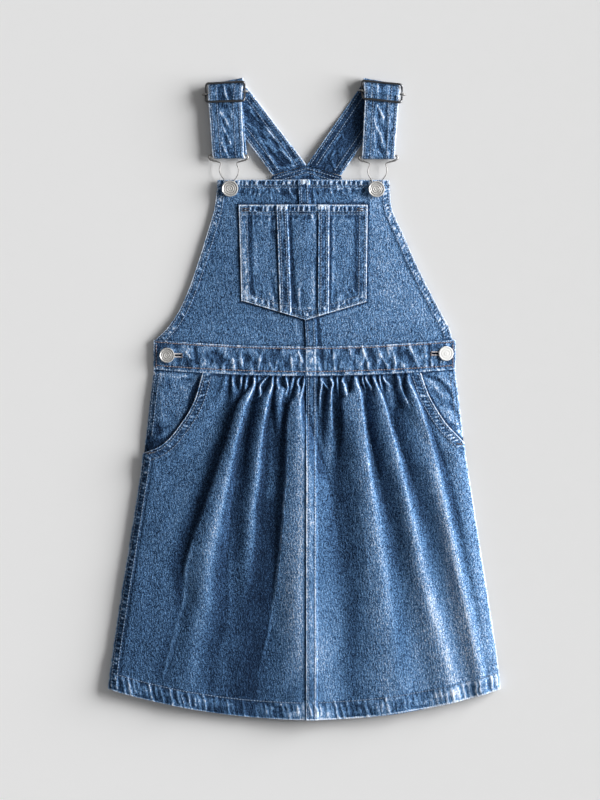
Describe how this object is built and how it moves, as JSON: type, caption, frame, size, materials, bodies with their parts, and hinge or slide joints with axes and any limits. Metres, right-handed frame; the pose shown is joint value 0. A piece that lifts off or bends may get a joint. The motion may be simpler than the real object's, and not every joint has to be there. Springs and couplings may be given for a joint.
{
  "type": "pinafore dress",
  "caption": "Child's denim pinafore dress laid flat: bib with chest pocket, buttoned waistband, gathered skirt, hip pockets, and shoulder straps with wire sliders and hooks.",
  "frame": {"origin": "on the resting plane, at the centre of the dress's outline", "axes": "+X to the right of the dress seen from its front, +Y from hem to straps, +Z out of the front"},
  "size_m": [0.3716, 0.608, 0.0165],
  "materials": {
    "denim": "stone-washed mid-blue cotton twill, pale along worn edges, pale tan double stitching",
    "denim_back": "the same twill on the hidden back",
    "button_metal": "worn silver, plain rings",
    "hook_wire": "bright steel wire",
    "slider_wire": "dark plated wire"
  },
  "bodies": {
    "root": {"bib_back": "denim_back", "waistband_back": "denim_back", "skirt_back": "denim_back", "bib_front_left": "denim", "bib_front_right": "denim", "chest_pocket_left": "denim", "chest_pocket_middle": "denim", "chest_pocket_right": "denim", "waistband_front": "denim", "skirt_front_left": "denim", "skirt_front_right": "denim", "hip_facing_left": "denim", "hip_facing_right": "denim", "strap_left": "denim", "strap_right": "denim", "slider_frame_left": "slider_wire", "slider_frame_right": "slider_wire", "slider_bar_left": "slider_wire", "slider_bar_right": "slider_wire", "hook_left": "hook_wire", "hook_right": "hook_wire", "bib_button_left": "button_metal", "bib_button_right": "button_metal", "side_button_left": "button_metal", "side_button_right": "button_metal"}
  },
  "joints": []
}
